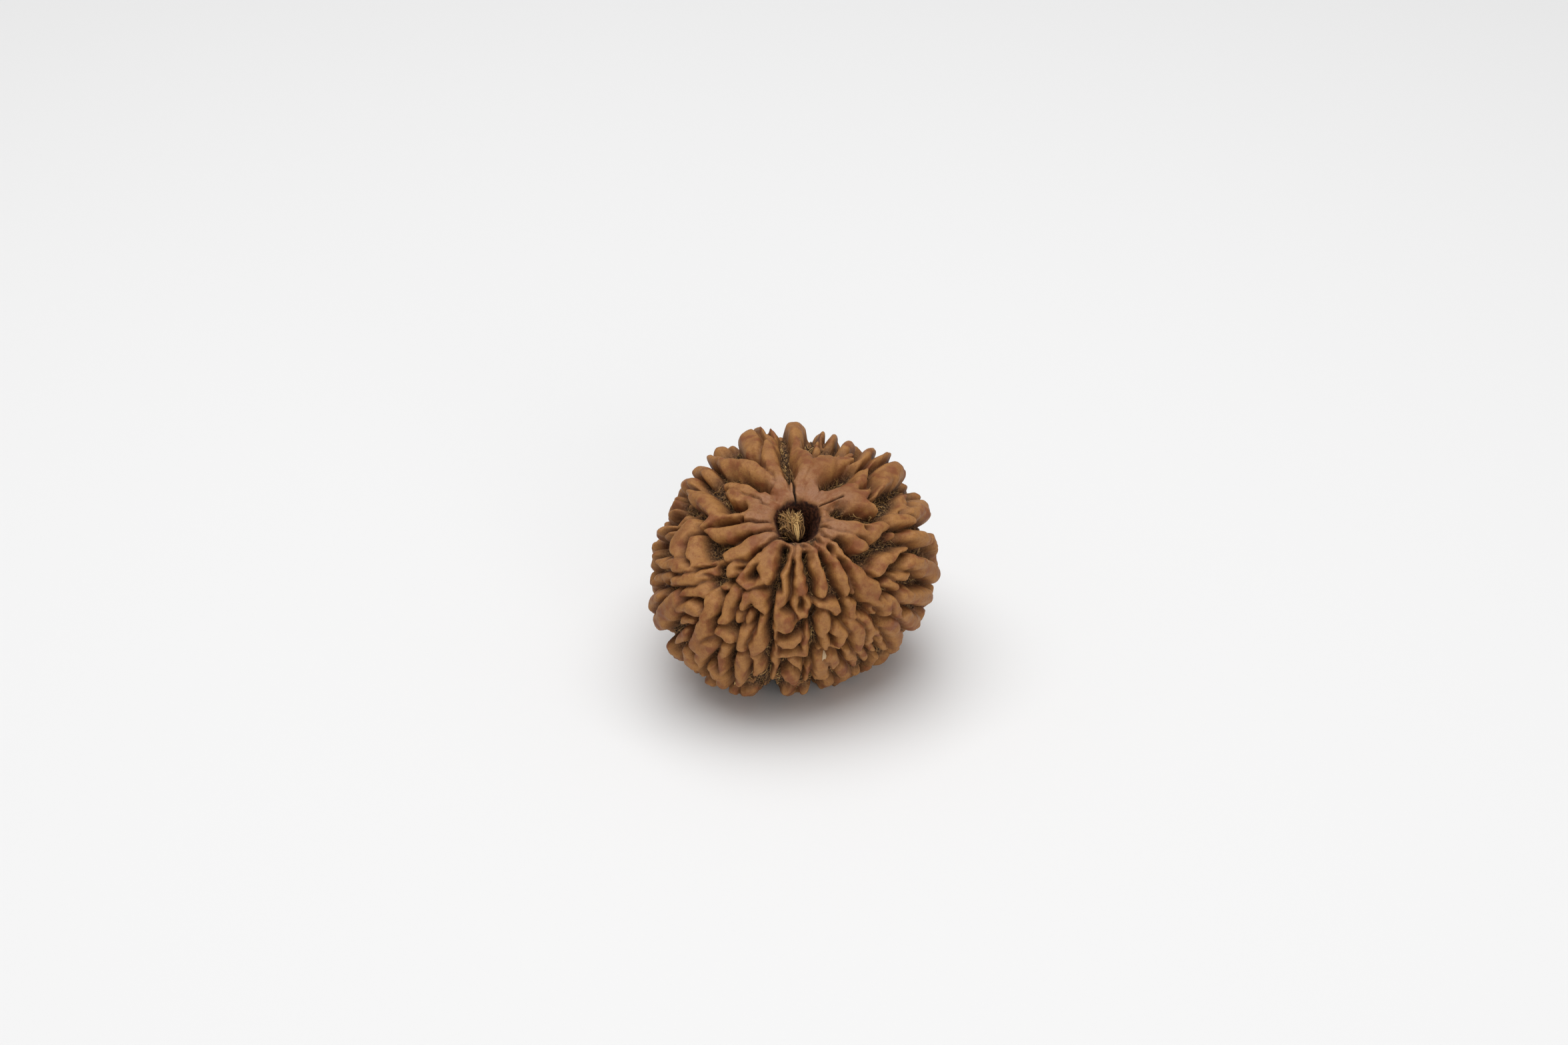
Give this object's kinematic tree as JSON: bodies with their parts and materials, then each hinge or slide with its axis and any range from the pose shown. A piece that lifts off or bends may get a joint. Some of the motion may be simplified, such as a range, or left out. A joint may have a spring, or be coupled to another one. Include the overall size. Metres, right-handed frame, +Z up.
{
  "type": "rudraksha seed",
  "caption": "Round, deeply ribbed hard seed with a mouth at its upper end that holds a tuft of dry fibre; rests on a small worn flat.",
  "frame": {"origin": "middle of the underside of the seed's box, on the surface that the seed rests on", "axes": "+Z up; the seed's own axis leans 24 degrees from +Z toward -Y, so the mouth faces up and to the front, -Y"},
  "size_m": [0.0304, 0.0306, 0.0234],
  "materials": {
    "stone": "hard woody shell, satin, brown with ochre crests and dark furrows",
    "dry_fibre": "dry straw-coloured plant fibre, matt"
  },
  "bodies": {
    "root": {"stone": "stone", "canal_fibre": "dry_fibre"}
  },
  "joints": []
}
